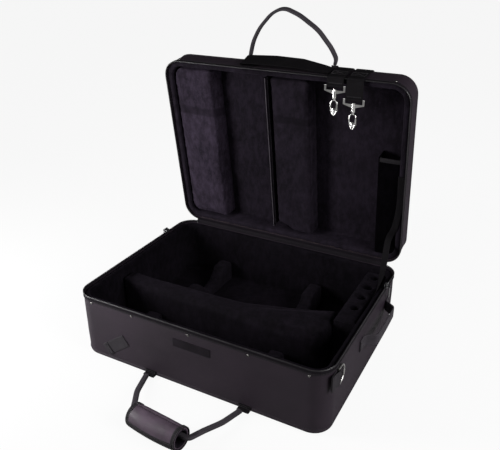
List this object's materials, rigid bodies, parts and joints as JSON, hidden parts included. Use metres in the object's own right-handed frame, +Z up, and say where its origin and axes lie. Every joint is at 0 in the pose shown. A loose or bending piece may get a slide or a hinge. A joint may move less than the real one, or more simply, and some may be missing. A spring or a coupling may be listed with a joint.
{
  "type": "trumpet case",
  "caption": "Soft-cover box case for two brass instruments, zip round the rim, hinged lid open, padded interior, webbing handles, shoulder strap with snap hooks.",
  "frame": {"origin": "middle of the base box's underside", "axes": "+X along the case's length towards the side handle, +Y towards the hinge, +Z up"},
  "size_m": [0.5923, 0.6314, 0.6783],
  "materials": {
    "cover": "woven synthetic, matte",
    "board": "plain",
    "lining": "short plush",
    "padding": "short plush over foam",
    "tape": "flat woven",
    "webbing": "woven webbing",
    "chain": "moulded coil",
    "slider": "black enamel",
    "steel": "satin",
    "chrome": "polished",
    "badge": "satin",
    "grip": "woven synthetic over padding"
  },
  "bodies": {
    "base": {"base_bottom_cover": "cover", "base_bottom_board": "board", "base_side_cover": "cover", "base_wall_frame": "board", "base_lining": "lining", "base_zip_tape": "tape", "base_zip_chain": "chain", "base_rivets": "steel", "base_hinge_tape": "tape", "zip_end_stops": "steel", "badge_plate": "badge", "front_tab": "webbing", "d_ring_tab_left": "webbing", "d_ring_tab_right": "webbing", "side_handle": "webbing", "base_handle_feet": "webbing", "centre_divider": "padding", "trumpet_slide_cradle": "padding", "trumpet_bell_cradle": "padding", "flugelhorn_bell_cradle": "padding", "flugelhorn_slide_cradle": "padding", "mouthpiece_holder": "padding", "lid_stay": "webbing"},
    "lid": {"lid_top_cover": "cover", "lid_top_board": "board", "lid_side_cover": "cover", "lid_wall_frame": "board", "lid_lining": "lining", "lid_zip_tape": "tape", "lid_zip_chain": "chain", "lid_rivets": "steel", "lid_hinge_tape": "tape", "lid_handle_feet": "webbing", "lid_handle_run": "webbing", "lid_left_block": "padding", "lid_beam": "padding", "lid_divider": "padding", "lid_divider_binding": "tape", "lid_accessory_box": "padding", "lid_pocket_binding": "tape", "shoulder_strap": "webbing", "strap_adjuster": "badge"},
    "slider_left": {"zip_slider_left": "slider"},
    "slider_right": {"zip_slider_right": "slider"},
    "pull_left": {"zip_pull_left": "slider"},
    "pull_right": {"zip_pull_right": "slider"},
    "ring_left": {"d_ring_left": "steel"},
    "ring_right": {"d_ring_right": "steel"},
    "base_handle": {"base_handle_loop": "webbing", "grip_wrap": "grip"},
    "grip_cover": {"grip_flap": "grip"},
    "lid_handle": {"lid_handle_loop": "webbing"},
    "hook_1_frame": {"hook_frame_1": "chrome"},
    "hook_1_body": {"hook_body_1": "chrome"},
    "hook_1_gate": {"hook_gate_1": "chrome"},
    "hook_2_frame": {"hook_frame_2": "chrome"},
    "hook_2_body": {"hook_body_2": "chrome"},
    "hook_2_gate": {"hook_gate_2": "chrome"}
  },
  "joints": [
    {"name": "lid_hinge", "type": "hinge", "parent": "base", "child": "lid", "pos_m": [0, 0.2081, 0.1467], "axis": [1, 0, 0], "range_deg": [0, 81.3], "deforming": ["lid_stay"]},
    {"name": "zip_slide_left", "type": "slide", "parent": "base", "child": "slider_left", "axis": [0, -1, 0], "range_m": [0, 0.222]},
    {"name": "zip_pull_swing_left", "type": "hinge", "parent": "slider_left", "child": "pull_left", "pos_m": [-0.28645, 0.117, 0.1467], "axis": [0, 1, 0], "range_deg": [0, 150]},
    {"name": "zip_slide_right", "type": "slide", "parent": "base", "child": "slider_right", "axis": [0, -1, 0], "range_m": [0, 0.222]},
    {"name": "zip_pull_swing_right", "type": "hinge", "parent": "slider_right", "child": "pull_right", "pos_m": [0.28645, 0.117, 0.1467], "axis": [0, -1, 0], "range_deg": [0, 150]},
    {"name": "d_ring_swing_left", "type": "hinge", "parent": "base", "child": "ring_left", "pos_m": [-0.2832, -0.15, 0.113], "axis": [0, 0, 1], "range_deg": [0, 150]},
    {"name": "d_ring_swing_right", "type": "hinge", "parent": "base", "child": "ring_right", "pos_m": [0.2832, -0.1665, 0.113], "axis": [0, 0, -1], "range_deg": [0, 150]},
    {"name": "base_handle_swing", "type": "hinge", "parent": "base", "child": "base_handle", "pos_m": [0, -0.215, 0.005], "axis": [-1, 0, 0], "range_deg": [0, 70]},
    {"name": "grip_flap_fold", "type": "hinge", "parent": "base_handle", "child": "grip_cover", "pos_m": [0.01175, -0.33076, 0.04104], "axis": [0.9942, -0.1069, 0.0154], "range_deg": [-120, 0]},
    {"name": "lid_handle_swing", "type": "hinge", "parent": "lid", "child": "lid_handle", "pos_m": [0, 0.20739, 0.56784], "axis": [-1, 0, 0], "range_deg": [-50, 20], "deforming": ["lid_handle_run"]},
    {"name": "hook_1_swing", "type": "hinge", "parent": "lid", "child": "hook_1_frame", "pos_m": [0.1305, 0.14586, 0.54178], "axis": [1, 0, 0], "range_deg": [-25, 54]},
    {"name": "hook_1_swivel", "type": "hinge", "parent": "hook_1_frame", "child": "hook_1_body", "pos_m": [0.1305, 0.14586, 0.52678], "axis": [0, 0, 1], "continuous": true},
    {"name": "hook_1_gate", "type": "hinge", "parent": "hook_1_body", "child": "hook_1_gate", "pos_m": [0.1368, 0.14586, 0.49378], "axis": [0, -1, 0], "range_deg": [0, 32], "stiffness_Nm_per_rad": 0.02},
    {"name": "hook_2_swing", "type": "hinge", "parent": "lid", "child": "hook_2_frame", "pos_m": [0.171, 0.14586, 0.51878], "axis": [1, 0, 0], "range_deg": [-25, 54]},
    {"name": "hook_2_swivel", "type": "hinge", "parent": "hook_2_frame", "child": "hook_2_body", "pos_m": [0.171, 0.14586, 0.50378], "axis": [0, 0, 1], "continuous": true},
    {"name": "hook_2_gate", "type": "hinge", "parent": "hook_2_body", "child": "hook_2_gate", "pos_m": [0.1773, 0.14586, 0.47078], "axis": [0, -1, 0], "range_deg": [0, 32], "stiffness_Nm_per_rad": 0.02}
  ]
}
